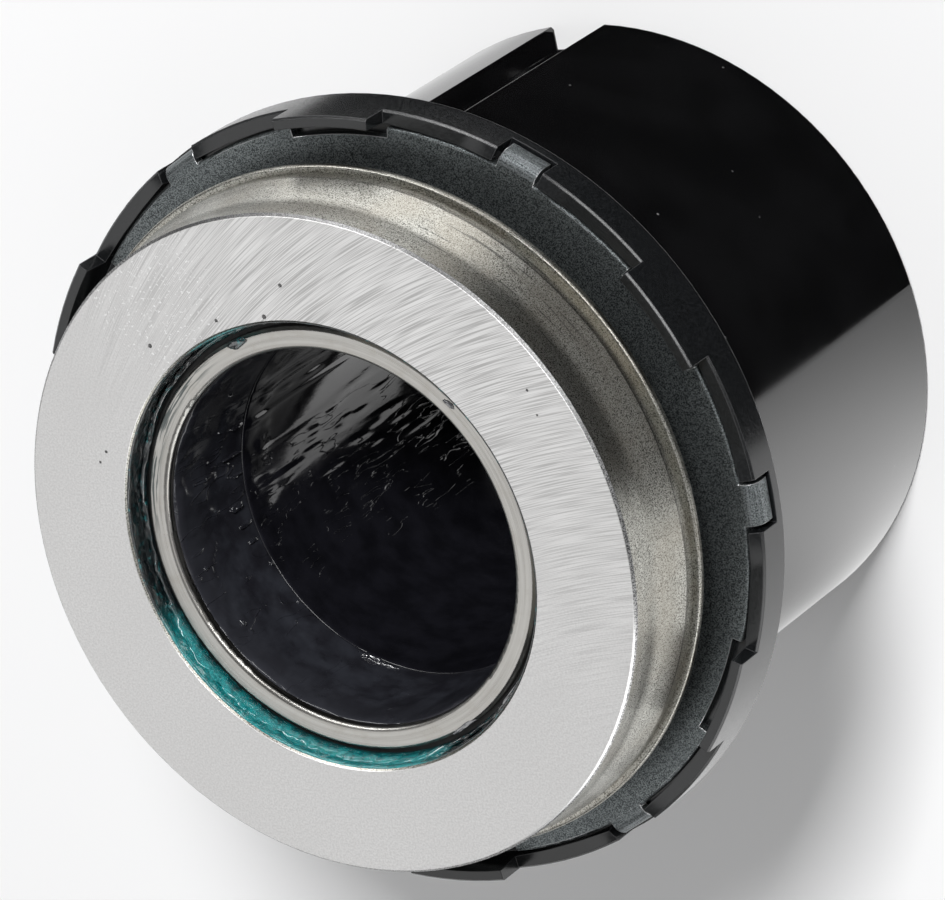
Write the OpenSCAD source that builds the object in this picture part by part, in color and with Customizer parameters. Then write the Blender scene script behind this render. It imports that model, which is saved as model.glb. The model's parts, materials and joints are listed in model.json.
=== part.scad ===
// Self-centring clutch release bearing on a moulded guide sleeve.
// The sleeve slides along the gearbox guide tube. A sheet retainer clips the bearing to its front
// flange, and a wave spring lets the bearing shift sideways until it runs true with the clutch.
// The axis is +Z, the sleeve's rear end stands at z = 0 and the thrust face looks up.
// Depths are measured from the thrust face towards the rear.

/* [Overall] */
// Length from the sleeve's rear end to the thrust face
length = 60; // [50:0.5:75]

/* [Thrust ring] */
// Outer radius of the thrust face
face_r = 33; // [31.5:0.1:35]
// Chamfer round the thrust face
face_chamfer = 0.3; // [0.2:0.1:1]
// Thickness of the face over the ball groove
face_t = 2.6; // [2.2:0.1:3.5]
// Length of the straight band behind the face
band_len = 3.9; // [2.2:0.1:4.5]
// Half length of the soft bend from the band into the barrel
band_blend = 0.7; // [0.3:0.1:1.7]
// How far the barrel flares out behind the band
barrel_rise = 0.8; // [0.3:0.1:1.4]
// Depth at which the barrel ends
barrel_end = 8.1; // [6:0.1:9]
// How far the rear rim stands out from the barrel
rim_rise = 0.7; // [0.3:0.1:1.2]
// Axial width of the rear rim
rim_w = 0.9; // [0.6:0.1:1.5]
// Rounding of the rear rim's edges
rim_round = 0.3; // [0.1:0.05:0.4]

/* [Balls] */
// Ball diameter
ball_d = 6.35; // [5.5:0.05:6.75]
// Number of balls
ball_count = 16; // [12:1:17]
// How far the ball circle lies outside the middle of the ring section
track_offset = 0.6; // [0:0.05:0.9]
// Room between a ball and its grooves
race_clear = 0.12; // [0.05:0.01:0.2]
// Height of the lands over the groove's bottom
groove_step = 0.15; // [0.1:0.05:0.3]

/* [Ball cage] */
// Thickness of the cage's sheet
cage_t = 0.7; // [0.5:0.05:0.8]
// Band of sheet left beside each window
cage_rim = 0.4; // [0.3:0.05:0.45]
// Room between a ball and its window
window_clear = 0.12; // [0.05:0.01:0.15]

/* [Inner ring] */
// Bore radius of the inner ring
bore_r = 19; // [18.6:0.1:20]
// Radial width of the front lip
lip_t = 2.2; // [1.6:0.1:2.5]
// Depth of the lip below the thrust face
lip_depth = 2; // [1.5:0.1:2.5]
// Rounding of the lip's inner edge
lip_round = 0.5; // [0.3:0.1:1.1]
// Break of the small edges
edge_break = 0.3; // [0.1:0.05:0.4]
// Open ring between the lip and the thrust ring's bore
grease_gap = 1.1; // [0.8:0.1:1.6]
// Height of the thrust shoulder below the ball circle
shoulder_drop = 1.2; // [0.8:0.1:1.8]
// How far the rear flange stands out from the shoulder
seat_flange_w = 3.2; // [2.4:0.1:4]
// Thickness of the rear flange
seat_flange_t = 1.6; // [1.2:0.1:2.5]

/* [Seals] */
// Thickness of the front shield
shield_t = 0.9; // [0.6:0.1:1.1]
// Room between the front shield and the cage's inner edge
shield_cage_gap = 0.45; // [0.3:0.05:0.8]
// Room between the front shield and the back of the face
shield_gap = 0.25; // [0.2:0.05:0.4]
// Thickness of the rear seal
seal_t = 0.8; // [0.6:0.1:1.2]
// Room between the balls and the rear seal
seal_gap = 0.33; // [0.25:0.01:0.6]
// Depth of the rear seal's ledge in the thrust ring
seal_ledge = 1.25; // [0.8:0.05:1.6]
// Running gap under the rear seal's lip
seal_lip_gap = 0.3; // [0.2:0.05:0.5]
// How far the rear seal sits inside the rim's end
seal_inset = 0.1; // [0.05:0.05:0.3]

/* [Retainer plate] */
// Sheet thickness
plate_t = 1; // [0.8:0.1:1.4]
// Gap between the plate's edge and the sleeve's wall
plate_gap = 0.2; // [0.15:0.01:0.4]
// Clear height between the thrust ring and the plate's crown
crown_gap = 1.3; // [0.8:0.1:2]
// Radius of the bends in the crown
crown_bend = 0.5; // [0.3:0.1:0.7]
// Width of a tab
tab_w = 4.1; // [3:0.1:6]
// Inside radius of a tab's bend
tab_bend = 0.3; // [0.2:0.1:0.5]
// Length of a tab's leg behind the plate's front
tab_leg = 2.5; // [2.1:0.1:3]
// Radial room between a tab's leg and the flange's rim
tab_inset = 0.3; // [0.1:0.05:0.5]
// Radial room between the plate and a post
post_gap = 1.2; // [0.4:0.1:1.5]
// Angular room beside a post
post_side_gap = 0.6; // [0.3:0.1:1.2]

/* [Self-centring] */
// Travel of the bearing each way along X and along Y
float_travel = 0.35; // [0.2:0.05:0.4]
// Room left at the end of the travel
float_clear = 0.4; // [0.3:0.05:0.6]
// Gap at the faces that slide over each other
slip_gap = 0.05; // [0.02:0.01:0.1]
// Height taken up by the wave spring
spring_h = 0.8; // [0.6:0.05:1.4]
// Thickness of the wave spring's strip
spring_t = 0.4; // [0.3:0.05:0.45]
// Number of waves
spring_waves = 3; // [3:1:6]

/* [Sleeve flange] */
// Outer radius of the front flange
flange_r = 38.75; // [38:0.05:42]
// Thickness of the flange behind the plate
flange_t = 3.1; // [2.5:0.1:5]
// Radial thickness of the wall round the plate
wall_t = 1.5; // [1.5:0.05:2.5]
// Height of a post over the wall
post_h = 2.95; // [1.5:0.05:3.2]
// Angle that a post spans
post_span = 15.6; // [8:0.1:20]
// Slant of a post's inner face
post_draft = 0.4; // [0.1:0.05:0.6]
// Width of a tab notch
notch_w = 5.1; // [4.5:0.1:8]
// Ring of flange left behind a tab notch
notch_floor = 1.3; // [0.8:0.1:2]
// Chamfer on the edges of the flange and its wall
wall_edge = 0.2; // [0.1:0.05:0.4]
// Number of tabs and of posts
clip_count = 6; // [3:1:6]

/* [Sleeve tube] */
// Outer radius of the sleeve
sleeve_r = 32.2; // [31:0.1:34]
// Wall of the sleeve
sleeve_t = 4.2; // [3.5:0.1:5]
// Bore radius of the guide tube inside the sleeve
guide_r = 18.45; // [18:0.05:18.55]
// Wall of the guide tube
guide_t = 3; // [2:0.1:4]
// Thickness of the web that joins both walls at the front
web_t = 5; // [4:0.1:8]
// How far the guide tube stops short of the rear end
guide_inset = 3; // [0.5:0.5:10]
// Chamfer at both ends of the guide bore
guide_chamfer = 0.5; // [0.2:0.1:1.2]
// Chamfer on the sleeve's rear edge
rear_chamfer = 0.4; // [0.2:0.1:1]
// Fillet between the sleeve and the back of the flange
root_fillet = 0.6; // [0.2:0.1:1.2]
// Number of ribs between both walls
rib_count = 6; // [3:1:8]
// Thickness of a rib
rib_t = 2.4; // [1.6:0.1:4]
// How far the ribs stop short of the rear end
rib_inset = 5; // [1:0.5:12]
// Width of the guide slot
slot_w = 6.2; // [4:0.1:8]
// Depth of the guide slot
slot_d = 2.6; // [1.5:0.1:3]
// Angle of the guide slot from the first tab
slot_angle = 92; // [80:1:100]

/* [Hidden] */
$fn = 96;
// Small push that keeps cuts clear of the faces they open
over = 1;
// Slack that keeps a pressed-in ring just clear of its seat
press_slack = 0.02;

// Radii of the ball track
ball_r = ball_d / 2;
groove_r = ball_r + race_clear;
window_r = ball_r + window_clear;
pitch_r = (bore_r + face_r) / 2 + track_offset;
outer_land_r = pitch_r + groove_r - groove_step;
inner_land_r = pitch_r - groove_r + groove_step;
shoulder_r = pitch_r - shoulder_drop;

// Half sizes of the cage's cone in section, which stands at 45 degrees: along the sheet and across it
cage_reach = (window_r + cage_rim) / sqrt(2);
cage_half = cage_t / 2 / sqrt(2);

// Depths of the bearing, front to back
ball_depth = face_t + groove_r;
land_depth = face_t + groove_step;
shield_front = land_depth + shield_gap;
shield_back = shield_front + shield_t;
seal_front = ball_depth + ball_r + seal_gap;
ring_depth = seal_front + seal_t + seal_inset;
rim_front = ring_depth - rim_w;

// Radii of the two rings
lip_r = bore_r + lip_t;
shield_r = pitch_r - cage_reach - cage_half - shield_cage_gap;
face_bore_r = lip_r + grease_gap;
barrel_r = face_r + barrel_rise;
barrel_slope = barrel_rise / (barrel_end - band_len);
rim_r = barrel_r + rim_rise;
seal_r = outer_land_r + seal_ledge;
seat_flange_r = shoulder_r + seat_flange_w;

// Depths of the clamped stack, from the plate's crown to the sleeve's seat
crown_front = ring_depth + crown_gap;
crown_back = crown_front + plate_t;
seat_flange_front = crown_back + spring_h;
seat_depth = seat_flange_front + seat_flange_t + slip_gap;
wall_front = seat_depth - plate_t;
post_top = wall_front - post_h;
flange_back = seat_depth + flange_t;
notch_depth = flange_back - notch_floor;

// Radii of the retainer plate
float_reach = float_travel * sqrt(2) + float_clear;
crown_bore_r = shoulder_r + float_reach;
crown_in_r = seat_flange_r + float_reach;
crown_r = crown_in_r + plate_t;
wall_in_r = flange_r - wall_t;
plate_r = wall_in_r - plate_gap;
tab_r = flange_r - tab_inset;
tab_bend_out = tab_bend + plate_t;
leg_in_r = tab_r - plate_t;
notch_r = leg_in_r - slip_gap;

// Radii of the wave spring, clear of the shoulder and of the crown over its travel
spring_in_r = shoulder_r + float_travel + float_clear;
spring_out_r = crown_in_r - float_travel - float_clear;
spring_wave = (spring_h - spring_t) / 2 - slip_gap;

// Radii of the sleeve
guide_out_r = guide_r + guide_t;
sleeve_in_r = sleeve_r - sleeve_t;

// Height above the sleeve's rear end of a depth below the thrust face
function up(depth) = length - depth;

// Rounds a convex corner of a section: the stuff lies on the side that sx and sy point to
module round_corner(r, z, radius, sx, sy) {
    difference() {
        translate([r + sx * (radius - over) / 2, z + sy * (radius - over) / 2])
            square(radius + over, center = true);
        translate([r + sx * radius, z + sy * radius])
            circle(radius);
        translate([r + sx * radius - (sx < 0 ? 2 * radius : 0), z + sy * radius - (sy < 0 ? 2 * radius : 0)])
            square(2 * radius);
    }
}

// Spins a section over part of a turn, centred on the X axis
module sector(span) {
    rotate([0, 0, -span / 2])
        rotate_extrude(angle = span)
            children();
}

// Repeats its children evenly round the axis
module around(count, first = 0) {
    for (i = [0:count - 1])
        rotate([0, 0, first + i * 360 / count])
            children();
}

// Rotating ring: ground face, straight band, flared barrel and rolled rear rim
module thrust_section() {
    steps = 8;
    // Soft bend whose slope grows evenly from the band's to the barrel's
    bend = [
        for (i = [0:steps])
            let (along = 2 * band_blend * i / steps)
            [face_r + barrel_slope * along * along / (4 * band_blend), up(band_len - band_blend + along)]
    ];
    difference() {
        polygon(concat(
            [
                [face_bore_r + edge_break, up(0)],
                [face_r - face_chamfer, up(0)],
                [face_r, up(face_chamfer)]
            ],
            bend,
            [
                [barrel_r, up(barrel_end)],
                [barrel_r, up(rim_front)],
                [rim_r, up(rim_front)],
                [rim_r, up(ring_depth)],
                [face_bore_r, up(ring_depth)],
                [face_bore_r, up(edge_break)]
            ]
        ));
        translate([face_bore_r - over, up(ring_depth) - over])
            square([pitch_r - face_bore_r + over, ring_depth - land_depth + over]);
        translate([face_bore_r - over, up(ring_depth) - over])
            square([outer_land_r - face_bore_r + over, ring_depth - ball_depth + over]);
        translate([face_bore_r - over, up(ring_depth) - over])
            square([seal_r - face_bore_r + over, ring_depth - seal_front + over]);
        translate([pitch_r, up(ball_depth)])
            circle(groove_r);
        round_corner(rim_r, up(ring_depth), rim_round, -1, 1);
        round_corner(rim_r, up(rim_front), rim_round, -1, -1);
    }
}

module thrust_ring() {
    color([0.62, 0.61, 0.59])
        rotate_extrude()
            thrust_section();
}

// Standing ring: front lip, angular ball groove, thrust shoulder and the rear flange it floats on
module inner_section() {
    difference() {
        polygon([
            [bore_r, up(lip_depth)],
            [lip_r - edge_break, up(lip_depth)],
            [lip_r, up(lip_depth + edge_break)],
            [lip_r, up(shield_back)],
            [inner_land_r, up(shield_back)],
            [inner_land_r, up(ball_depth)],
            [shoulder_r, up(ball_depth)],
            [shoulder_r, up(seat_flange_front)],
            [seat_flange_r - edge_break, up(seat_flange_front)],
            [seat_flange_r, up(seat_flange_front + edge_break)],
            [seat_flange_r, up(seat_depth - slip_gap)],
            [bore_r + edge_break, up(seat_depth - slip_gap)],
            [bore_r, up(seat_depth - slip_gap - edge_break)]
        ]);
        translate([pitch_r, up(ball_depth)])
            circle(groove_r);
        round_corner(bore_r, up(lip_depth), lip_round, 1, -1);
    }
}

module inner_ring() {
    color([0.55, 0.55, 0.54])
        rotate_extrude()
            inner_section();
}

// Front shield: a flat rubber ring on the lip that throws grease back into the bearing
module front_shield() {
    color([0.08, 0.1, 0.11])
        rotate_extrude()
            translate([lip_r + press_slack, up(shield_back)])
                square([shield_r - lip_r - press_slack, shield_t]);
}

// Rear seal: pressed into the thrust ring's ledge, its lip running over the shoulder
module rear_seal() {
    color([0.1, 0.1, 0.1])
        rotate_extrude()
            translate([shoulder_r + seal_lip_gap, up(seal_front + seal_t)])
                square([seal_r - press_slack - shoulder_r - seal_lip_gap, seal_t]);
}

// Places its children on the ball circle
module on_track(i) {
    rotate([0, 0, i * 360 / ball_count])
        translate([pitch_r, 0, up(ball_depth)])
            children();
}

module ball(i) {
    color([0.78, 0.79, 0.8])
        on_track(i)
            sphere(ball_r);
}

// Pressed cage: a cone of sheet through the ball centres, with a round window for each ball
module ball_cage() {
    color([0.5, 0.47, 0.42])
        difference() {
            rotate_extrude()
                translate([pitch_r, up(ball_depth)])
                    polygon([
                        [-cage_reach - cage_half, cage_reach - cage_half],
                        [-cage_reach + cage_half, cage_reach + cage_half],
                        [cage_reach + cage_half, -cage_reach + cage_half],
                        [cage_reach - cage_half, -cage_reach - cage_half]
                    ]);
            for (i = [0:ball_count - 1])
                on_track(i)
                    rotate([0, 45, 0])
                        cylinder(r = window_r, h = 4 * cage_t, center = true);
        }
}

// Wave spring: a flat strip ring whose height rises and falls round the circle
module wave_spring() {
    steps = 24 * spring_waves;
    mid = up(crown_back + spring_h / 2);
    // Four corners of the strip at one step: inner and outer, below and above
    function corners(i) = [
        for (r = [spring_in_r, spring_out_r], side = [-0.5, 0.5])
            let (a = i * 360 / steps)
            [r * cos(a), r * sin(a), mid + spring_wave * cos(spring_waves * a) + side * spring_t]
    ];
    points = [for (i = [0:steps - 1]) each corners(i)];
    // The strip's four edges in order round its section
    order = [0, 1, 3, 2];
    faces = [
        for (i = [0:steps - 1], k = [0:3])
            let (here = 4 * i, next = 4 * ((i + 1) % steps), a = order[k], b = order[(k + 1) % 4])
            each [[here + a, here + b, next + b], [here + a, next + b, next + a]]
    ];
    color([0.6, 0.58, 0.54])
        polyhedron(points, faces, convexity = 6);
}

// Crowned plate: flat brim on the sleeve's seat and a raised crown over the inner ring's flange
module plate_section() {
    difference() {
        union() {
            translate([crown_bore_r, up(crown_back)])
                square([crown_r - crown_bore_r, plate_t]);
            translate([crown_in_r, up(seat_depth)])
                square([plate_t, seat_depth - crown_front]);
            translate([crown_in_r, up(seat_depth)])
                square([plate_r - crown_in_r, plate_t]);
            difference() {
                translate([crown_r, up(wall_front)])
                    square(crown_bend);
                translate([crown_r + crown_bend, up(wall_front) + crown_bend])
                    circle(crown_bend);
            }
        }
        round_corner(crown_r, up(crown_front), crown_bend + edge_break, -1, -1);
        round_corner(crown_in_r, up(seat_depth), crown_bend, 1, 1);
        round_corner(plate_r, up(wall_front), edge_break, -1, -1);
    }
}

// One tab in section: out through the wall's notch, round the bend and down beside the flange
module tab_section() {
    bend_r = tab_r - tab_bend_out;
    bend_z = up(wall_front) - tab_bend_out;
    leg_z = up(wall_front) - tab_leg;
    translate([plate_r - over, up(seat_depth)])
        square([bend_r - plate_r + over, plate_t]);
    intersection() {
        translate([bend_r, bend_z])
            difference() {
                circle(tab_bend_out);
                circle(tab_bend);
            }
        translate([bend_r, bend_z])
            square(tab_bend_out + over);
    }
    translate([leg_in_r, leg_z])
        square([plate_t, bend_z - leg_z]);
}

module retainer_plate() {
    color([0.2, 0.21, 0.22]) {
        difference() {
            rotate_extrude()
                plate_section();
            around(clip_count, 180 / clip_count)
                sector(post_span + 2 * post_side_gap)
                    translate([wall_in_r - post_gap, up(seat_depth) - over])
                        square([post_gap + over, plate_t + 2 * over]);
        }
        around(clip_count)
            rotate([90, 0, 0])
                linear_extrude(tab_w, center = true)
                    tab_section();
    }
}

// Moulded sleeve in section, through a post: flange and wall, outer tube, front web and guide tube
module sleeve_section() {
    polygon([
        [guide_r + guide_chamfer, up(seat_depth)],
        [wall_in_r, up(seat_depth)],
        [wall_in_r, up(wall_front)],
        [wall_in_r + post_draft, up(post_top)],
        [flange_r - wall_edge, up(post_top)],
        [flange_r, up(post_top + wall_edge)],
        [flange_r, up(flange_back - wall_edge)],
        [flange_r - wall_edge, up(flange_back)],
        [sleeve_r, up(flange_back)],
        [sleeve_r, rear_chamfer],
        [sleeve_r - rear_chamfer, 0],
        [sleeve_in_r, 0],
        [sleeve_in_r, up(seat_depth + web_t)],
        [guide_out_r, up(seat_depth + web_t)],
        [guide_out_r, guide_inset],
        [guide_r + guide_chamfer, guide_inset],
        [guide_r, guide_inset + guide_chamfer],
        [guide_r, up(seat_depth + guide_chamfer)]
    ]);
    difference() {
        translate([sleeve_r - root_fillet, up(flange_back) - root_fillet])
            square(2 * root_fillet);
        translate([sleeve_r + root_fillet, up(flange_back) - root_fillet])
            circle(root_fillet);
    }
}

// Stretch between two posts, where the wall is cut down to the plate's front and its edges are broken
module low_wall_cut() {
    sector(360 / clip_count - post_span)
        polygon([
            [wall_in_r - over, up(wall_front + wall_edge + over)],
            [wall_in_r, up(wall_front + wall_edge)],
            [wall_in_r + wall_edge, up(wall_front)],
            [flange_r - wall_edge, up(wall_front)],
            [flange_r + over, up(wall_front + wall_edge + over)],
            [flange_r + over, up(post_top) + over],
            [wall_in_r - over, up(post_top) + over]
        ]);
}

// Room for one tab: open through the wall, then down the flange's rim, with a bevel at the bend
module tab_notch() {
    reach = flange_r - wall_in_r + 2 * over;
    bevel = tab_bend + slip_gap + edge_break;
    translate([wall_in_r - over, -notch_w / 2, up(seat_depth)])
        cube([reach, notch_w, plate_t + over]);
    translate([notch_r, -notch_w / 2, up(notch_depth)])
        cube([reach, notch_w, notch_depth - wall_front + over]);
    translate([0, notch_w / 2, 0])
        rotate([90, 0, 0])
            linear_extrude(notch_w)
                polygon([
                    [notch_r - bevel, up(seat_depth) + over],
                    [notch_r - bevel, up(seat_depth)],
                    [notch_r, up(seat_depth + bevel)],
                    [notch_r + over, up(seat_depth + bevel)],
                    [notch_r + over, up(seat_depth) + over]
                ]);
}

module sleeve() {
    rib_len = up(seat_depth + web_t) - rib_inset;
    color([0.04, 0.04, 0.045])
        difference() {
            union() {
                rotate_extrude()
                    sleeve_section();
                around(rib_count, 180 / rib_count)
                    translate([guide_out_r - guide_t / 2, -rib_t / 2, rib_inset])
                        cube([sleeve_in_r - guide_out_r + guide_t / 2 + sleeve_t / 4, rib_t, rib_len + over]);
            }
            around(clip_count)
                low_wall_cut();
            around(clip_count)
                tab_notch();
            rotate([0, 0, slot_angle])
                translate([sleeve_r - slot_d, -slot_w / 2, -over])
                    cube([slot_d + over, slot_w, up(flange_back) + over]);
        }
}

sleeve();
retainer_plate();
wave_spring();
inner_ring();
front_shield();
thrust_ring();
rear_seal();
ball_cage();
for (i = [1:ball_count]) ball(i);
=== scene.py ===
"""Clutch release bearing: finishes, grease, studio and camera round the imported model.

The frame is the model's own: +Z runs along the bearing's axis, the sleeve stands on z = 0 and the
thrust face looks up. Sizes are given in millimetres and turned to metres where a mesh is made; only
the floor, the lights and the camera are in metres. Angles round the axis are in degrees from +X.
"""
import json
from math import atan2, cos, degrees, exp, hypot, pi, radians, sin

import bpy
from mathutils import Matrix, Vector, noise


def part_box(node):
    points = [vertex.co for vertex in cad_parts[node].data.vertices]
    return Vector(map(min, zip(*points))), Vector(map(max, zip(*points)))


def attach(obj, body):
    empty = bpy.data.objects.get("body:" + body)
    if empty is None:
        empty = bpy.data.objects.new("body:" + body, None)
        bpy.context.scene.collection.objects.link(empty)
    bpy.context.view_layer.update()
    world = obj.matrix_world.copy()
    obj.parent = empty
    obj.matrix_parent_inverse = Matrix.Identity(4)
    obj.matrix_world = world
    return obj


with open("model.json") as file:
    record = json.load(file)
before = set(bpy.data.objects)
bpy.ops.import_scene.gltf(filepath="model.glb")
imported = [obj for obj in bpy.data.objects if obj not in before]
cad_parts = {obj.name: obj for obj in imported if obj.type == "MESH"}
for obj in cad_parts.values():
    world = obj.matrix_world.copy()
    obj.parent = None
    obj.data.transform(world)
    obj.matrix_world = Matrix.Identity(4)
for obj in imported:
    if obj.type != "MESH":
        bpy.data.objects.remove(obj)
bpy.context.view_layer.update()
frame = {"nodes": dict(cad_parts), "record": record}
NODES = frame["nodes"]
MM = 0.001

# Heights and radii that the finishes and the grease follow
FACE_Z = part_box("thrust_ring")[1].z / MM
LIP_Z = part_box("inner_ring")[1].z / MM
RING_REAR_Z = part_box("inner_ring")[0].z / MM
SHIELD_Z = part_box("front_shield")[1].z / MM
FLANGE_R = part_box("sleeve")[1].x / MM
BORE_R = {mount["name"]: mount["dims"]["r_mm"] for mount in frame["record"]["mounts"]
          if mount["kind"] == "bore"}
RING_BORE_R = BORE_R["ring_bore"]
GUIDE_BORE_R = BORE_R["guide_bore"]
LIP_R = 21.2
FACE_BORE_R = 22.3
FACE_BORE_BREAK = 0.3
SLEEVE_R = 32.2
# Depths below the thrust face: where its outer chamfer ends and where the barrel starts to flare
CHAMFER_DEPTH = 0.36
BARREL_DEPTH = 8.1

# Small pits in the ground face: distance from the axis, angle round it and size
FACE_PITS = ((26.0, 89.6, 0.22), (23.0, 95.6, 0.26), (23.7, 109.0, 0.2), (25.3, 128.6, 0.24),
             (24.9, 158.9, 0.18), (25.4, 161.9, 0.16), (29.9, 33.0, 0.16), (29.2, 28.4, 0.14))
# Arcs that the grinding wheel left on the face: their radius and the x of their middles
WHEEL_R = 76.0
WHEEL_X = 42.5

# Where the grease beside the lip is heaped up, and where the grease in the bore catches the light
HEAP_TURN = 246
BORE_LIT_TURN = 196
# Segments round a film of grease, length of its rings, fewest cuts along it and thickness of its sheet
FILM_TURNS = 420
FILM_STEP = 0.5
FILM_CUTS = 12
FILM_SHEET = 0.12
# Radius of the ring of grease beside the lip, before it is shaped
BEAD_R = 0.5
# Lumps of grease in the ring's bore: angle round the axis, height, and reach out of, round and along it
BORE_LUMPS = ((143.0, 50.1, 0.16, 0.16, 0.30), (157.5, 49.7, 0.14, 0.14, 0.22),
              (158.5, 46.9, 0.22, 0.22, 1.10), (167.7, 47.2, 0.24, 0.20, 1.50),
              (174.5, 46.7, 0.22, 0.20, 0.90), (183.8, 47.6, 0.34, 0.42, 1.00),
              (190.0, 47.0, 0.22, 0.22, 1.20), (195.5, 46.9, 0.22, 0.22, 0.80),
              (204.2, 46.1, 0.20, 0.24, 0.30), (194.8, 54.7, 0.18, 0.22, 0.40),
              (214.1, 54.1, 0.20, 0.34, 0.26), (218.5, 46.1, 0.14, 0.16, 0.20),
              (247.5, 46.3, 0.42, 1.40, 0.42), (253.5, 46.3, 0.24, 1.00, 0.24))


# Meshes

def smoothstep(low, high, value):
    """0 below low, 1 above high and an even slope between."""
    t = min(max((value - low) / (high - low), 0.0), 1.0)
    return t * t * (3 - 2 * t)


def turn_between(angle, middle, half_width, fade):
    """1 within half_width degrees of the middle, falling to 0 over the fade."""
    away = abs((angle - middle + 180) % 360 - 180)
    return 1 - smoothstep(half_width, half_width + fade, away)


def deselect_all():
    if bpy.context.mode != "OBJECT":
        bpy.ops.object.mode_set(mode="OBJECT")
    bpy.ops.object.select_all(action="DESELECT")


def take_primitive(name):
    """Names the primitive that was just added and returns it."""
    piece = bpy.context.object
    piece.name = piece.data.name = name
    return piece


def apply_modifier(piece, name, kind, **settings):
    modifier = piece.modifiers.new(name, kind)
    for key, value in settings.items():
        setattr(modifier, key, value)
    bpy.context.view_layer.objects.active = piece
    bpy.ops.object.modifier_apply(modifier=modifier.name)


def settle(piece, body, finish):
    """Puts a finished piece's place in its mesh, gives it its finish and lets it ride on a body."""
    deselect_all()
    piece.select_set(True)
    bpy.context.view_layer.objects.active = piece
    bpy.ops.object.transform_apply(location=True, rotation=True, scale=True)
    bpy.ops.object.mode_set(mode="EDIT")
    bpy.ops.mesh.select_all(action="SELECT")
    bpy.ops.mesh.normals_make_consistent(inside=False)
    bpy.ops.object.mode_set(mode="OBJECT")
    bpy.ops.object.shade_smooth()
    piece.data.materials.clear()
    piece.data.materials.append(finish)
    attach(piece, body)


# Finishes

def feed(tree, socket, value):
    """Links a node's output to a socket, or sets the socket to a plain value."""
    if isinstance(value, bpy.types.NodeSocket):
        tree.links.new(value, socket)
    else:
        socket.default_value = value


def add_node(tree, kind, inputs=(), **settings):
    node = tree.nodes.new("ShaderNode" + kind)
    for key, value in settings.items():
        setattr(node, key, value)
    for key, value in dict(inputs).items():
        feed(tree, node.inputs[key], value)
    return node


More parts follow.
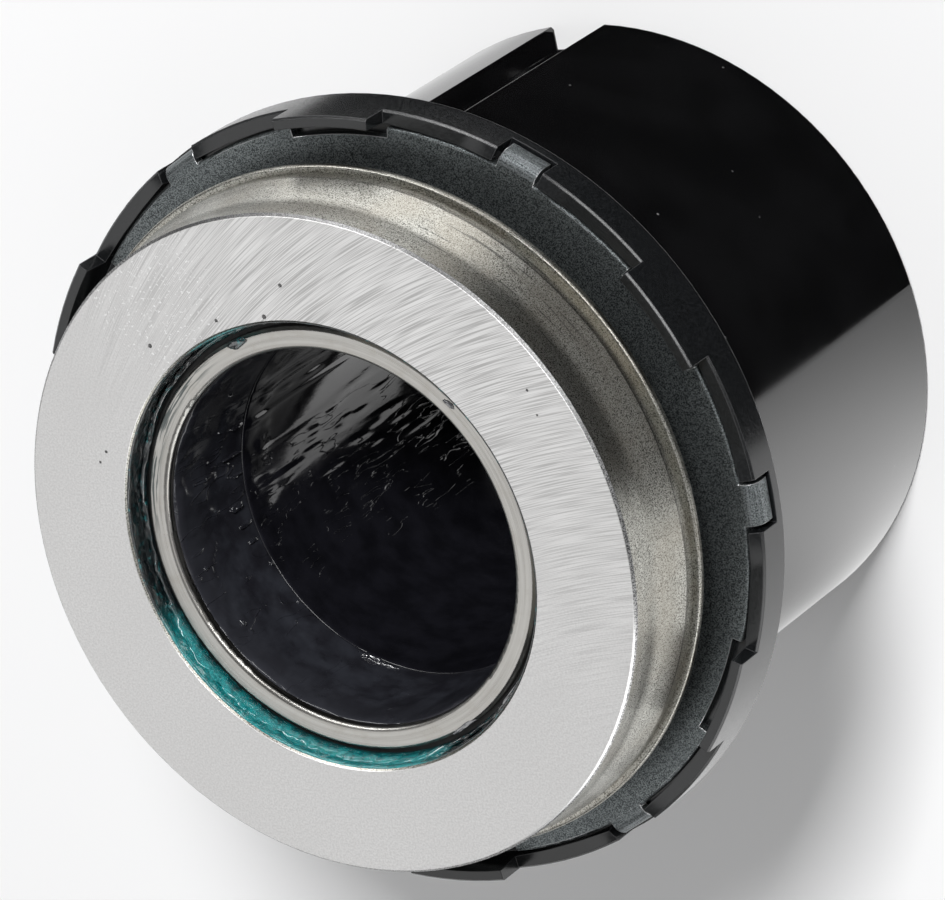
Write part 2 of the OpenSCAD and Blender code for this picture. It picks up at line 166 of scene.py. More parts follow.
class Finish:
    """A node material on the part's own coordinates in mm, with polar coordinates round the axis."""

    def __init__(self, name, **sockets):
        self.material = bpy.data.materials.new(name)
        self.material.use_nodes = True
        self.tree = self.material.node_tree
        self.shader = self.tree.nodes["Principled BSDF"]
        for socket, value in sockets.items():
            self.shader.inputs[socket.replace("_", " ")].default_value = value
        place = self.add("TexCoord").outputs["Object"]
        self.mm = self.add("VectorMath", {0: place, "Scale": 1 / MM}, operation="SCALE").outputs[0]
        self.x, self.y, self.z = self.add("SeparateXYZ", {0: self.mm}).outputs
        flat = self.add("CombineXYZ", {0: self.x, 1: self.y}).outputs[0]
        self.r = self.add("VectorMath", {0: flat}, operation="LENGTH").outputs["Value"]
        self.turn = self.math("ARCTAN2", self.y, self.x)
        # Arc length, radius and height, for marks that run round the axis
        self.wrapped = self.add("CombineXYZ", {0: self.times(self.turn, SLEEVE_R),
                                               1: self.r, 2: self.z}).outputs[0]

    def add(self, kind, inputs=(), **settings):
        return add_node(self.tree, kind, inputs, **settings)

    def set(self, socket, value):
        feed(self.tree, self.shader.inputs[socket], value)

    def math(self, operation, a, b=0.0):
        return self.add("Math", {0: a, 1: b}, operation=operation).outputs[0]

    def times(self, a, b):
        return self.math("MULTIPLY", a, b)

    def between(self, factor, a, b):
        """A plain value that goes from a to b as the factor goes from 0 to 1."""
        return self.add("Mix", {0: factor, 2: a, 3: b}).outputs[0]

    def blend(self, factor, a, b):
        """A colour that goes from a to b as the factor goes from 0 to 1."""
        return self.add("Mix", {0: factor, 6: a, 7: b}, data_type="RGBA").outputs[2]

    def levels(self, value, low, high, to_low=0.0, to_high=1.0):
        """Maps low..high to to_low..to_high on a smooth slope, flat beyond."""
        ranges = {"Value": value, "From Min": low, "From Max": high, "To Min": to_low, "To Max": to_high}
        return self.add("MapRange", ranges, interpolation_type="SMOOTHSTEP").outputs[0]

    def laid_out(self, place, stretch):
        """Coordinates drawn out along their axes."""
        return self.add("Mapping", {"Vector": place, "Scale": stretch}, vector_type="TEXTURE").outputs[0]

    def grain(self, scale, detail=3.0, roughness=0.55, stretch=(1, 1, 1), wrapped=False):
        """Noise with so many waves to the millimetre, drawn out along its axes."""
        laid = self.laid_out(self.wrapped if wrapped else self.mm, stretch)
        return self.add("TexNoise", {"Vector": laid, "Scale": scale, "Detail": detail,
                                     "Roughness": roughness}).outputs[0]

    def grinding_arcs(self, radius, middle, scale, length):
        """Marks of a grinding wheel fed along Y: arcs of one radius about points at x = middle."""
        across = self.math("SUBTRACT", self.x, middle)
        rise = self.math("SQRT", self.math("SUBTRACT", radius * radius, self.times(across, across)))
        arcs = self.add("CombineXYZ", {0: self.math("DIVIDE", self.x, length),
                                       1: self.math("SUBTRACT", self.y, rise)}).outputs[0]
        return self.add("TexNoise", {"Vector": arcs, "Scale": scale, "Detail": 1.5,
                                     "Roughness": 0.5}).outputs[0]

    def specks(self, scale, size):
        """1 in small round spots, about one to each cell of the given scale."""
        cells = self.add("TexVoronoi", {"Vector": self.mm, "Scale": scale}).outputs["Distance"]
        return self.levels(cells, size * 0.6, size, 1.0, 0.0)

    def creases(self, scale, width, stretch):
        """1 on thin winding lines, drawn out along the axes and broken here and there."""
        laid = self.laid_out(self.mm, stretch)
        wave = self.add("TexNoise", {"Vector": laid, "Scale": scale, "Detail": 2.0,
                                     "Distortion": 0.5}).outputs[0]
        away = self.math("ABSOLUTE", self.math("SUBTRACT", wave, 0.5))
        broken = self.levels(self.grain(0.25, 1.0), 0.44, 0.56)
        return self.times(self.levels(away, 0.0, width, 1.0, 0.0), broken)

    def rounded_edge(self, radius):
        """Normals rounded over the sharp edges, and how far they turn: 0 on flats, 1 on an edge, a mask
        that the finishes paint highlights with.
        """
        rounded = self.add("Bevel", {"Radius": radius * MM}, samples=6).outputs[0]
        flat = self.add("NewGeometry").outputs["Normal"]
        along = self.add("VectorMath", {0: rounded, 1: flat}, operation="DOT_PRODUCT").outputs["Value"]
        return rounded, self.levels(along, 0.995, 0.93)

    def bump(self, height, depth, strength=1.0, over=None):
        """Raises the surface by the depth where height is 1, on top of another bump if one is given."""
        settings = {"Height": height, "Distance": depth * MM, "Strength": strength}
        if over is not None:
            settings["Normal"] = over
        return self.add("Bump", settings).outputs[0]

    def near_turn(self, middle, half_width, fade):
        """1 within half_width degrees of an angle round the axis, falling to 0 over the fade."""
        away = self.math("SUBTRACT", self.turn, radians(middle))
        wrapped = self.add("Math", {0: away, 1: pi, 2: -pi}, operation="WRAP").outputs[0]
        away = self.math("ABSOLUTE", wrapped)
        return self.levels(away, radians(half_width), radians(half_width + fade), 1.0, 0.0)

    def spot(self, r, turn, size):
        """1 on a small spot at a distance from the axis and an angle round it."""
        a = radians(turn)
        middle = self.add("CombineXYZ", {0: r * cos(a), 1: r * sin(a), 2: self.z}).outputs[0]
        away = self.add("VectorMath", {0: self.mm, 1: middle}, operation="DISTANCE").outputs["Value"]
        return self.levels(away, size * 0.6, size, 1.0, 0.0)


def grey(level, warmth=0.0):
    """A grey, a little warmer or cooler: the colour sockets take linear values."""
    return (level * (1 + warmth), level, level * (1 - warmth), 1.0)


def face_colour(f, grain, grinding, lined, pits):
    """Ground steel, lined by the wheel on one side and plain on the other, with a few painted glints
    round one side.
    """
    plain = f.blend(f.levels(grain, 0.3, 0.7), grey(0.62, 0.008), grey(0.72, 0.006))
    ground = f.blend(f.levels(grinding, 0.34, 0.60), grey(0.52, 0.008), grey(0.80, 0.006))
    face = f.blend(lined, plain, ground)
    cloud = f.levels(f.grain(0.09, 2.0), 0.3, 0.7, 0.0, 0.25)
    face = f.blend(cloud, face, grey(0.62, 0.01))
    # Near-white specks round 120 degrees: painted glints
    painted_glints = f.times(f.levels(f.grain(2.6, 2.0, 0.7), 0.60, 0.66), f.near_turn(120, 9, 9))
    face = f.blend(f.times(painted_glints, 0.8), face, grey(0.95))
    return f.blend(f.times(pits, 0.85), face, grey(0.05))


def side_colour(f, speckle):
    """Turned steel with a brown tinge, pores, a few scratches and a line where the barrel starts."""
    turned = f.grain(1.6, 3.0, 0.6, (26.0, 1.0, 1.0), wrapped=True)
    side = f.blend(f.levels(speckle, 0.40, 0.58), (0.11, 0.108, 0.094, 1), (0.60, 0.594, 0.55, 1))
    side = f.blend(f.levels(turned, 0.35, 0.65, 0.0, 0.4), side, (0.28, 0.275, 0.245, 1))
    stain = f.levels(f.grain(0.16, 2.0, 0.5), 0.4, 0.7, 0.0, 0.35)
    side = f.blend(stain, side, (0.36, 0.325, 0.27, 1))
    pores = f.times(f.specks(1.3, 0.15), f.levels(speckle, 0.46, 0.54))
    side = f.blend(f.times(pores, 0.8), side, grey(0.03))
    scratch = f.levels(f.grain(2.4, 1.0, 0.5, (14.0, 1.0, 1.0), wrapped=True), 0.64, 0.70)
    scratch = f.times(scratch, f.near_turn(56, 16, 10))
    side = f.blend(f.times(scratch, 0.6), side, grey(0.05))
    barrel_z = FACE_Z - BARREL_DEPTH
    line = f.times(f.levels(f.z, barrel_z - 0.12, barrel_z - 0.02),
                   f.levels(f.z, barrel_z + 0.12, barrel_z + 0.02))
    return f.blend(f.times(line, f.levels(turned, 0.35, 0.6)), side, grey(0.10, 0.05))


def chamfer_colour(f):
    """Grainy edge of the face, with painted shade round one side and a painted highlight line round
    another.
    """
    edge = f.blend(f.levels(f.grain(7.0, 2.0, 0.7), 0.40, 0.60), grey(0.10), grey(0.46))
    # Darker round 66 degrees: painted shade
    edge = f.blend(f.times(f.near_turn(66, 42, 8), 0.7), edge, grey(0.11))
    # A near-white line round -36 degrees: painted highlight
    bright = f.times(f.near_turn(-36, 17, 14), f.levels(f.z, FACE_Z - 0.20, FACE_Z - 0.12))
    return f.blend(bright, edge, grey(0.85))


def thrust_ring_steel():
    """Ground face with the arcs of the grinding wheel, and a turned side with fine speckle."""
    f = Finish("thrust_ring_steel", Metallic=1.0)
    on_face = f.levels(f.z, FACE_Z - 0.06, FACE_Z - 0.02)
    # The radius keeps the chamfer's look off the edge of the face's bore
    chamfer_z = FACE_Z - CHAMFER_DEPTH
    on_chamfer = f.times(f.levels(f.z, chamfer_z, chamfer_z + 0.06), f.levels(f.r, 30.0, 31.0))
    grinding = f.grinding_arcs(WHEEL_R, WHEEL_X, 8.5, 50.0)
    grain = f.grain(5.0, 2.0, 0.6)
    speckle = f.grain(7.5, 2.0, 0.8)
    lined = f.near_turn(58, 30, 75)
    marks = f.between(lined, grain, grinding)
    pits = 0.0
    for r, turn, size in FACE_PITS:
        pits = f.math("MAXIMUM", pits, f.spot(r, turn, size))

    side = f.blend(on_chamfer, side_colour(f, speckle), chamfer_colour(f))
    f.set("Base Color", f.blend(on_face, side, face_colour(f, grain, grinding, lined, pits)))
    rough_side = f.levels(speckle, 0.3, 0.7, 0.26, 0.38)
    rough_face = f.levels(marks, 0.3, 0.7, 0.44, 0.36)
    f.set("Roughness", f.between(on_face, rough_side, rough_face))
    relief = f.bump(marks, 0.008, 0.3)
    relief = f.bump(pits, -0.1, 0.6, relief)
    f.set("Normal", f.bump(speckle, 0.014, 0.35, relief))
    return f.material


def inner_ring_steel():
    """Turned steel of the lip, with grease smeared along its upper left side and a painted highlight
    along its edges.
    """
    f = Finish("inner_ring_steel", Metallic=1.0)
    turned = f.grain(3.0, 2.0, 0.6, (60.0, 1.0, 1.0), wrapped=True)
    stain = f.grain(0.5, 3.0, 0.6)
    steel = f.blend(f.levels(turned, 0.3, 0.7), (0.37, 0.36, 0.34, 1), (0.52, 0.51, 0.485, 1))
    steel = f.blend(f.levels(stain, 0.45, 0.75, 0.0, 0.3), steel, (0.34, 0.315, 0.275, 1))
    smear = f.grain(4.6, 2.0, 0.6, (26.0, 1.0, 1.0), wrapped=True)
    smeared = f.times(f.levels(smear, 0.46, 0.56), f.near_turn(150, 20, 14))
    smeared = f.times(smeared, f.levels(f.r, LIP_R - 1.5, LIP_R - 0.8))
    edge_normal, edge = f.rounded_edge(0.12)
    # Near-white on the rounded edges: painted highlight
    steel = f.blend(edge, steel, grey(0.85, 0.02))
    f.set("Base Color", f.blend(f.times(smeared, 0.75), steel, (0.01, 0.03, 0.035, 1)))
    f.set("Roughness", f.levels(turned, 0.3, 0.7, 0.26, 0.36))
    f.set("Normal", f.bump(turned, 0.01, 0.3, edge_normal))
    return f.material


def plate_coating():
    """Dark phosphate on pressed sheet, finely grained, with painted highlights along its edges and
    painted highlight streaks on the tabs' bends.
    """
    f = Finish("plate_coating", Metallic=0.92)
    edge_normal, edge = f.rounded_edge(0.16)
    grain = f.grain(8.0, 2.0, 0.8)
    cloud = f.grain(0.22, 3.0)
    coat = f.blend(f.levels(grain, 0.40, 0.62), (0.036, 0.041, 0.043, 1), (0.290, 0.318, 0.322, 1))
    coat = f.blend(f.levels(cloud, 0.35, 0.7, 0.0, 0.25), coat, (0.130, 0.143, 0.150, 1))
    # Streaks near the flange's rim, on the tabs' bends: painted highlight
    streak = f.grain(4.5, 1.0, 0.5, (45.0, 1.0, 1.0), wrapped=True)
    painted_bend_highlight = f.times(f.levels(streak, 0.5, 0.62), f.levels(f.r, FLANGE_R - 1.8, FLANGE_R - 1.2))
    coat = f.blend(f.times(painted_bend_highlight, 0.35), coat, (0.38, 0.40, 0.42, 1))
    # Near-white on the rounded edges: painted highlight
    f.set("Base Color", f.blend(edge, coat, (0.84, 0.85, 0.86, 1)))
    f.set("Roughness", f.between(edge, f.levels(grain, 0.3, 0.7, 0.40, 0.54), 0.28))
    f.set("Normal", f.bump(grain, 0.02, 0.35, edge_normal))
    return f.material


def sleeve_moulding():
    """Glossy black moulding: a polished tube with a few dust specks, and a satin flange and wall with
    painted highlights on their edges and a brighter one on the flange's rear edge.
    """
    f = Finish("sleeve_moulding", Metallic=0.0, IOR=1.54)
    edge_normal, edge = f.rounded_edge(0.14)
    on_flange = f.levels(f.r, SLEEVE_R + 0.4, SLEEVE_R + 1.0)
    dust = f.times(f.specks(0.32, 0.05), f.levels(f.grain(0.4, 1.0), 0.52, 0.6))
    haze = f.grain(0.12, 2.0)
    satin = f.grain(4.0, 3.0, 0.65)
    tube = f.blend(f.levels(haze, 0.3, 0.7), (0.0028, 0.0028, 0.0030, 1), (0.0048, 0.0048, 0.0052, 1))
    tube = f.blend(f.times(dust, 0.5), tube, grey(0.30))
    flange = f.blend(f.levels(satin, 0.35, 0.7), (0.0045, 0.005, 0.0055, 1), (0.011, 0.012, 0.013, 1))
    # Lighter grey on the rounded edges: painted highlight
    flange = f.blend(f.times(edge, 0.3), flange, (0.10, 0.10, 0.105, 1))
    # Brighter grey on the flange's rear edge: painted highlight
    painted_rear_edge_highlight = f.times(edge, f.levels(f.z, RING_REAR_Z - 2.0, RING_REAR_Z - 2.6))
    flange = f.blend(painted_rear_edge_highlight, flange, grey(0.30))
    f.set("Base Color", f.blend(on_flange, tube, flange))
    rough_tube = f.levels(haze, 0.3, 0.7, 0.09, 0.13)
    rough_flange = f.between(edge, f.levels(satin, 0.3, 0.7, 0.17, 0.26), 0.42)
    f.set("Roughness", f.between(on_flange, rough_tube, rough_flange))
    f.set("Normal", f.bump(satin, 0.004, 0.1, edge_normal))
    return f.material


def bearing_steel(name, dark, light, roughness):
    """Plain bright steel of a hidden piece, with fine turned or rolled marks."""
    f = Finish(name, Metallic=1.0)
    marks = f.grain(4.0, 3.0, 0.6, (12.0, 1.0, 1.0), wrapped=True)
    f.set("Base Color", f.blend(f.levels(marks, 0.3, 0.7), dark, light))
    f.set("Roughness", f.levels(marks, 0.3, 0.7, roughness - 0.05, roughness + 0.05))
    return f.material


def seal_rubber():
    f = Finish("seal_rubber", Metallic=0.0)
    grain = f.grain(3.0, 3.0, 0.6)
    f.set("Base Color", f.blend(f.levels(grain, 0.35, 0.7), grey(0.008), grey(0.018)))
    f.set("Roughness", f.levels(grain, 0.3, 0.7, 0.5, 0.65))
    f.set("Normal", f.bump(grain, 0.02, 0.4))
    return f.material


def teal_grease():
    """Blue-green grease, wet and lumpy, nearly black where it lies thin, with painted shade in the gap
    by the lip.
    """
    f = Finish("teal_grease", Metallic=0.0, IOR=1.48, Coat_Weight=1.0, Coat_IOR=2.0, Coat_Roughness=0.05)
    lumps = f.grain(1.8, 4.0, 0.7)
    heaped_and_unshaded = f.math("MAXIMUM", f.near_turn(HEAP_TURN, 36, 14), f.times(f.near_turn(112, 5, 7), 0.7))
    # Near the lip the bright teal gives way to the dark tone: painted shade in the gap
    heaped_and_unshaded = f.times(heaped_and_unshaded, f.levels(f.r, LIP_R + 0.42, LIP_R + 0.82))
    bright = f.blend(f.levels(lumps, 0.3, 0.7), (0.0, 0.15, 0.16, 1), (0.012, 0.32, 0.33, 1))
    thin = f.blend(f.levels(lumps, 0.55, 0.68), (0.003, 0.006, 0.008, 1), (0.008, 0.120, 0.130, 1))
    f.set("Base Color", f.blend(heaped_and_unshaded, thin, bright))
    f.set("Roughness", f.levels(lumps, 0.3, 0.7, 0.10, 0.20))
    f.set("Normal", f.bump(f.grain(2.6, 3.0, 0.7), 0.35, 1.0))
    return f.material


def bore_grease(name, tones, roughness, crease_scale, creased, ior=1.45):
    """Wet grease between a dark and a light tone, creased within so many degrees of the lit side."""
    f = Finish(name, Metallic=0.0, IOR=ior)
    tone = f.grain(0.35, 3.0)
    near_lip = f.levels(f.z, LIP_Z - 7.0, LIP_Z - 2.0)
    wet = f.blend(f.levels(tone, 0.3, 0.7), *tones)
    f.set("Base Color", f.blend(f.times(near_lip, 0.6), wet, (0.032, 0.033, 0.040, 1)))
    f.set("Roughness", f.levels(tone, 0.3, 0.7, roughness, roughness + 0.05))
    lines = f.creases(crease_scale, 0.018, (1.0, 1.0, 6.0))
    lines = f.times(lines, f.near_turn(BORE_LIT_TURN, creased, 14))
    fine = f.bump(f.grain(2.5, 3.0, 0.6, (1.0, 1.0, 3.0)), 0.03, 0.15)
    f.set("Normal", f.bump(lines, 0.12, 0.6, fine))
    return f.material


def finish_solids():
    """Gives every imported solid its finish."""
    ball = bearing_steel("ball_steel", grey(0.66), grey(0.82), 0.10)
    looks = {
        "thrust_ring": thrust_ring_steel(),
        "inner_ring": inner_ring_steel(),
        "retainer_plate": plate_coating(),
        "sleeve": sleeve_moulding(),
        "ball_cage": bearing_steel("cage_steel", (0.34, 0.32, 0.28, 1), (0.50, 0.47, 0.42, 1), 0.32),
        "wave_spring": bearing_steel("spring_steel", (0.38, 0.36, 0.33, 1), (0.55, 0.53, 0.50, 1), 0.28),
    }
    looks["front_shield"] = looks["rear_seal"] = seal_rubber()
    for name, node in NODES.items():
        node.data.materials.clear()
        node.data.materials.append(looks.get(name, ball))


# Grease

def open_tube(name, radius, low, high):
    """A tube without ends, cut into rings so that its wall can be shaped."""
    deselect_all()
    bpy.ops.mesh.primitive_cylinder_add(vertices=FILM_TURNS, radius=radius * MM, depth=(high - low) * MM,
                                        end_fill_type="NOTHING", location=(0, 0, (low + high) / 2 * MM))
    tube = take_primitive(name)
    bpy.ops.object.transform_apply(location=True, rotation=True, scale=True)
    bpy.ops.object.mode_set(mode="EDIT")
    bpy.ops.mesh.select_mode(type="EDGE")
    bpy.ops.mesh.select_all(action="DESELECT")
    bpy.ops.object.mode_set(mode="OBJECT")
    for edge in tube.data.edges:
        a, b = (tube.data.vertices[i].co for i in edge.vertices)
        edge.select = abs(a.z - b.z) > 0.5 * (high - low) * MM
    bpy.ops.object.mode_set(mode="EDIT")
    bpy.ops.mesh.subdivide(number_cuts=max(int((high - low) / FILM_STEP), FILM_CUTS))
    bpy.ops.object.mode_set(mode="OBJECT")
    return tube


def bore_film(name, radius, low, high, thickness, body, finish,
              low_fade=0.8, high_fade=0.8, ragged=0.0, sunk=0.03):
    """Grease spread over a bore: an open tube whose wall is pushed in by thickness(turn, z).

    Over the fade at each end it thins out and sinks into the wall, or stands off it if sunk is
    negative. The high end may be ragged, by up to so many mm.
    """
    piece = open_tube(name, radius, low, high)
    for vertex in piece.data.vertices:
        turn = degrees(atan2(vertex.co.y, vertex.co.x)) % 360
        z = vertex.co.z / MM
        end = high - ragged * abs(smear_noise(turn, 0, 0.35, 0, 88.0))
        fade = smoothstep(low, low + low_fade, z) * smoothstep(end, end - high_fade, z)
        depth = thickness(turn, z) * fade - sunk * (1 - fade)
        scale = (radius - depth) / radius
        vertex.co.x *= scale
        vertex.co.y *= scale
    apply_modifier(piece, "Film", "SOLIDIFY", thickness=FILM_SHEET * MM, offset=1.0)
    settle(piece, body, finish)


def smear_noise(turn, z, across, along, seed):
    """Noise on a bore's wall with so many waves to the millimetre across and along the axis."""
    a = radians(turn)
    wall = RING_BORE_R * across
    return noise.noise(Vector((cos(a) * wall, sin(a) * wall, z * along + seed)))


def ring_film_thickness(turn, z):
    """Thick wet grease in the bearing's own bore, wiped along the axis, with a few folds.

    At the rear it fills the step to the narrower guide bore.
    """
    wiped = 0.5 + smear_noise(turn, z, 0.35, 0.10, 3.0)
    folds = abs(smear_noise(turn, z, 0.30, 0.28, 9.0))
    ripple = smear_noise(turn, z, 1.1, 0.5, 21.0)
    film = 0.10 + 0.22 * max(wiped, 0) + 0.16 * exp(-(folds / 0.05) ** 2) + 0.035 * ripple
    step = RING_BORE_R - GUIDE_BORE_R
    return film + max(step - film, 0) * smoothstep(RING_REAR_Z + 6.5, RING_REAR_Z + 0.3, z)


def guide_film_thickness(turn, z):
    """Thin grease drawn along the guide bore, with ridges and folds, standing clear of the ring."""
    streak = smear_noise(turn, z + 0.05 * turn, 0.8, 0.03, 40.0)
    ridge = exp(-(streak / 0.05) ** 2) * turn_between(turn, 172, 22, 14)
    folds = smear_noise(turn, z, 0.55, 0.35, 55.0) + 0.5 * smear_noise(turn, z, 1.1, 0.5, 62.0)
    front = smoothstep(RING_REAR_Z - 5.0, RING_REAR_Z - 2.5, z)
    front *= smoothstep(RING_REAR_Z + 1.0, RING_REAR_Z - 1.5, z)
    clear = 0.045 * smoothstep(RING_REAR_Z - 1.2, RING_REAR_Z - 0.2, z)
    return 0.04 + 0.09 * ridge + 0.16 * front * max(0.5 + folds, 0) + clear


def face_film_thickness(turn, z):
    """Grease pulled up in lumps on the wall of the face's bore and its broken edge, not at the right."""
    lumps = (smear_noise(turn, z, 0.5, 0.8, 70.0) + 0.7 * smear_noise(turn, z, 1.3, 1.6, 76.0)
             + 0.6 * smear_noise(turn, z, 2.4, 2.6, 81.0))
    edge = max(z - (FACE_Z - FACE_BORE_BREAK), 0.0)
    return (0.05 + 0.13 * max(lumps + 0.25, 0)) * turn_between(turn, 205, 112, 22) - 0.01 - edge


def grease_bead(finish):
    """Grease squeezed out between the lip and the face's bore, heaped up on the lower left side."""
    deselect_all()
    mid_r, mid_z = (LIP_R + FACE_BORE_R) / 2 + 0.22, SHIELD_Z + 0.55
    bpy.ops.mesh.primitive_torus_add(major_segments=540, minor_segments=18, major_radius=mid_r * MM,
                                     minor_radius=BEAD_R * MM, location=(0, 0, mid_z * MM))
    piece = take_primitive("grease_bead")
    bpy.ops.object.transform_apply(location=True, rotation=True, scale=True)
    for vertex in piece.data.vertices:
        x, y, z = (value / MM for value in vertex.co)
        turn = degrees(atan2(y, x)) % 360
        across, above = (hypot(x, y) - mid_r) / BEAD_R, (z - mid_z) / BEAD_R
        heap = turn_between(turn, HEAP_TURN, 30, 24)
        lumps = noise.noise(Vector((x * 0.9, y * 0.9, z * 0.9)))
        lumps += 0.7 * noise.noise(Vector((x * 2.2, y * 2.2, 7.0)))
        lean = 0.12 * heap
        width = 0.30 + 0.06 * heap + 0.10 * lumps
        height = 0.40 + 0.95 * heap * (0.5 + 0.5 * across) + 0.30 * lumps
        r = mid_r + lean + across * width
        r = min(max(r, LIP_R + 0.15), FACE_BORE_R + 0.06)
        z = SHIELD_Z + 0.05 + (above + 1) * 0.5 * max(height, 0.12) * 1.7
        vertex.co = Vector((cos(radians(turn)) * r, sin(radians(turn)) * r, z)) * MM
    settle(piece, "thrust", finish)


def grease_dab(name, turn, r, z, reach, body, finish):
    """A small lump of grease; the reach is along the radius, round the axis and along it."""
    deselect_all()
    a = radians(turn)
    bpy.ops.mesh.primitive_ico_sphere_add(subdivisions=4, radius=MM)
    piece = take_primitive(name)
    for vertex in piece.data.vertices:
        p = vertex.co / MM
        swell = 1 + 0.45 * noise.noise(p * 1.3 + Vector((turn, r, 0))) + 0.15 * noise.noise(p * 3.1)
        vertex.co = Vector((p.x * reach[0], p.y * reach[1], p.z * reach[2])) * swell * MM
    piece.rotation_euler = (0, 0, a)
    piece.location = Vector((cos(a) * r, sin(a) * r, z)) * MM
    settle(piece, body, finish)


def lay_grease():
    """Grease beside the lip, on the walls of the bores, and in small dabs and lumps."""
    navy_tones = (0.014, 0.014, 0.018, 1), (0.030, 0.032, 0.040, 1)
    black_tones = (0.006, 0.006, 0.008, 1), (0.011, 0.011, 0.015, 1)
    teal = teal_grease()
    navy = bore_grease("navy_grease", navy_tones, 0.10, 0.45, 40)
    black = bore_grease("black_grease", black_tones, 0.08, 0.9, 12)
    lump = bore_grease("lump_grease", navy_tones, 0.04, 0.45, 40, ior=2.8)
    grease_bead(teal)
    bore_film("ring_bore_grease", RING_BORE_R, RING_REAR_Z + 0.04, LIP_Z - 0.9,
              ring_film_thickness, "inner", navy, low_fade=0.05)
    bore_film("guide_bore_grease", GUIDE_BORE_R, 6.0, RING_REAR_Z + 0.8,
              guide_film_thickness, "carrier", black, high_fade=0.4, ragged=1.2, sunk=-0.085)
    bore_film("face_bore_grease", FACE_BORE_R, SHIELD_Z + 0.1, FACE_Z - 0.16,
              face_film_thickness, "thrust", teal, high_fade=0.10)
    grease_dab("lip_dab_top", 110.5, 20.75, LIP_Z, (0.45, 1.12, 0.26), "inner", teal)
    grease_dab("lip_dab_right", 43.0, 20.5, LIP_Z, (0.25, 0.63, 0.14), "inner", lump)
    grease_dab("lip_dab_low", 299.0, 21.0, LIP_Z - 0.02, (0.22, 1.5, 0.12), "inner", lump)
    grease_dab("gap_dab_low", 317.0, 21.75, LIP_Z - 0.40, (0.22, 2.2, 0.22), "thrust", lump)
    for number, (turn, z, out, around, along) in enumerate(BORE_LUMPS, 1):
        r = RING_BORE_R - ring_film_thickness(turn, z)
        grease_dab(f"bore_lump_{number}", turn, r, z, (out, around, along), "inner", lump)


# Studio

FLOOR_SIZE = 4.0
FLOOR_TONE = (0.87, 0.87, 0.875, 1)
CARD_BLACK = 0.004
AIM = Vector((0, 0, 0.03))
WORLD_STRENGTH = 0.20


def direction(azimuth, elevation):
    a, e = radians(azimuth), radians(elevation)
    return Vector((cos(a) * cos(e), sin(a) * cos(e), sin(e)))


def softbox(name, azimuth, elevation, distance, width, height, watts):
    """A rectangular light that looks at the part; its distance and size are in metres."""
    lamp = bpy.data.lights.new(name, "AREA")
    lamp.shape, lamp.size, lamp.size_y, lamp.energy = "RECTANGLE", width, height, watts
    holder = bpy.data.objects.new(name, lamp)
    bpy.context.scene.collection.objects.link(holder)
    holder.location = direction(azimuth, elevation) * distance + AIM
    holder.rotation_mode = "QUATERNION"
    holder.rotation_quaternion = direction(azimuth, elevation).to_track_quat("Z", "Y")
    return holder


def floor_paper(camera_white, mirror_white):
    """Pale diffuse paper, lifted towards white for the rays that look at it or mirror it."""
    material = bpy.data.materials.new("floor_paper")
    material.use_nodes = True
    tree = material.node_tree
    tree.nodes.clear()
    rays = add_node(tree, "LightPath").outputs
    mirrored = add_node(tree, "Math", {0: rays["Is Glossy Ray"], 1: rays["Is Transmission Ray"]},
                        operation="MAXIMUM").outputs[0]
    lift = add_node(tree, "Math", {0: mirrored, 1: mirror_white}, operation="MULTIPLY").outputs[0]
    share = add_node(tree, "Math", {0: rays["Is Camera Ray"], 1: camera_white, 2: lift},
                     operation="MULTIPLY_ADD").outputs[0]
    paper = add_node(tree, "BsdfDiffuse", {"Color": FLOOR_TONE}).outputs[0]
    white = add_node(tree, "Emission").outputs[0]
    mixed = add_node(tree, "MixShader", {0: share, 1: paper, 2: white}).outputs[0]
    add_node(tree, "OutputMaterial", {0: mixed})
    return material


def floor_card(name, outline, glow=0.0, tone=CARD_BLACK, glow_round=None, height=0.4):
    """A black or glowing card on the floor, seen only in reflections, that paints a dark or bright
    reflection; the outline and height are in mm.

    One that glows round an azimuth glows less than half as much 40 degrees to either side.
    """
    deselect_all()
    bpy.ops.mesh.primitive_circle_add(vertices=len(outline), radius=0.1, fill_type="NGON")
    card = take_primitive(name)
    for vertex, place in zip(card.data.vertices, outline):
        vertex.co = (place.x * MM, place.y * MM, height * MM)
    f = Finish(name, Base_Color=grey(tone), Roughness=1.0, Specular_IOR_Level=0.0,
               Emission_Color=(1, 1, 1, 1), Emission_Strength=glow)
    if glow_round is not None:
        f.set("Emission Strength", f.between(f.near_turn(glow_round, 2, 38), 0.42 * glow, glow))
    card.data.materials.append(f.material)
    card.visible_camera = card.visible_diffuse = card.visible_shadow = False


def arc(radius, first, last, count=24):
    return [direction(first + (last - first) * i / (count - 1), 0) * radius for i in range(count)]


def floor_cards():
    """Painted reflections: black and glowing cards that the polished tube, the ring's side and the guide
    bore mirror.
    """
    # Black cards paint dark reflections and glowing cards paint bright ones; none of them is a lamp
    foot = arc(SLEEVE_R, 9.8, 93.0)
    left_end, right_end = foot[-1] + direction(155.7, 0) * 62, foot[0] + direction(-13.7, 0) * 90
    floor_card("tube_card", foot + [left_end] + arc(74, 132, 82, 8) + arc(96, 60, -4) + [right_end])
    near = arc(SLEEVE_R, -100, 9.0)
    near_end = near[-1] + direction(-14.5, 0) * 24
    floor_card("tube_glowing_card", near + [near_end] + arc(56, -4, -100), 2.0, glow_round=-22)
    floor_card("ring_card", arc(98, 62, -8) + arc(190, -12, 64), tone=0.12)
    floor_card("ring_glowing_card", arc(82, 124, 72) + arc(170, 72, 124), 2.2)
    floor_card("rim_glowing_card", arc(57, -100, -2) + arc(165, -14, -60), 1.25)
    glowing_card_edge = [Vector((3.0, -9.5, 0)), Vector((-6.0, -6.3, 0))]
    floor_card("bore_glowing_card", arc(GUIDE_BORE_R * 0.97, 201, 318) + glowing_card_edge, 1.35)
    floor_card("bore_card_dark", arc(SLEEVE_R * 0.99, 0, 350), height=0.2)


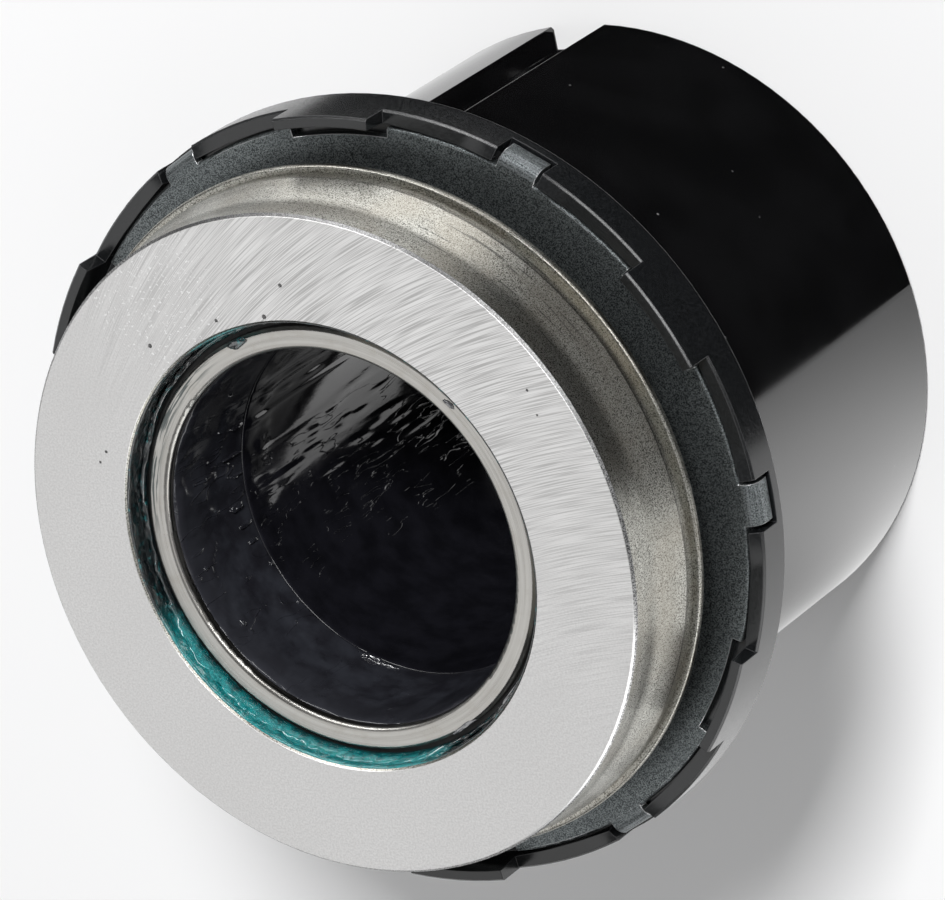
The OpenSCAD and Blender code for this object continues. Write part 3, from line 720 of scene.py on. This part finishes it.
def studio():
    """Pale floor, a key light for the shadow, two fills, three lights for the edges and a pale sky."""
    deselect_all()
    bpy.ops.mesh.primitive_plane_add(size=FLOOR_SIZE)
    floor = take_primitive("floor")
    floor.data.materials.append(floor_paper(0.05, 0.5))
    floor_cards()
    key = softbox("key", 60, 50, 1.2, 0.26, 0.26, 15.0)
    key.visible_glossy = False
    softbox("face_fill", 210, 50, 1.0, 0.9, 0.7, 1.85)
    softbox("front_fill", -15, 55, 1.0, 0.9, 0.6, 1.0)
    edge_lights = (softbox("edge_light_left", 110, 27, 0.9, 0.8, 0.12, 3.2),
                   softbox("edge_light_right", 45, 37, 0.9, 0.7, 0.12, 2.8),
                   softbox("edge_light_low", -58, 19, 0.9, 0.9, 0.35, 2.5))
    for edge_light in edge_lights:
        edge_light.visible_diffuse = False
    world = bpy.data.worlds.new("studio")
    bpy.context.scene.world = world
    world.use_nodes = True
    sky = world.node_tree.nodes["Background"].inputs
    sky["Color"].default_value = (1.0, 1.0, 1.0, 1)
    sky["Strength"].default_value = WORLD_STRENGTH
    bpy.context.scene.view_settings.view_transform = "Standard"


# Camera

PHOTO_WIDTH_PX = 945
FOCAL_PX = 7000
SENSOR_MM = 36.0
CAMERA_PLACE = Vector((0.35953, 0.20961, 0.56335))
CAMERA_BACK = Vector((0.53350, 0.31138, 0.78640))
CAMERA_UP = Vector((-0.02613, 0.93540, -0.35264))


def photo_camera():
    """Camera of the photo, from its place, the direction behind it and its upward side."""
    lens = bpy.data.cameras.new("photo_camera")
    lens.sensor_fit, lens.sensor_width = "HORIZONTAL", SENSOR_MM
    lens.lens = FOCAL_PX * SENSOR_MM / PHOTO_WIDTH_PX
    lens.clip_start, lens.clip_end = 0.01, 10.0
    holder = bpy.data.objects.new("photo_camera", lens)
    bpy.context.scene.collection.objects.link(holder)
    back = CAMERA_BACK.normalized()
    right = CAMERA_UP.cross(back).normalized()
    axes = Matrix((right, back.cross(right), back)).transposed().to_4x4()
    holder.matrix_world = Matrix.Translation(CAMERA_PLACE) @ axes
    bpy.context.scene.camera = holder


photo_camera()
finish_solids()
lay_grease()
studio()
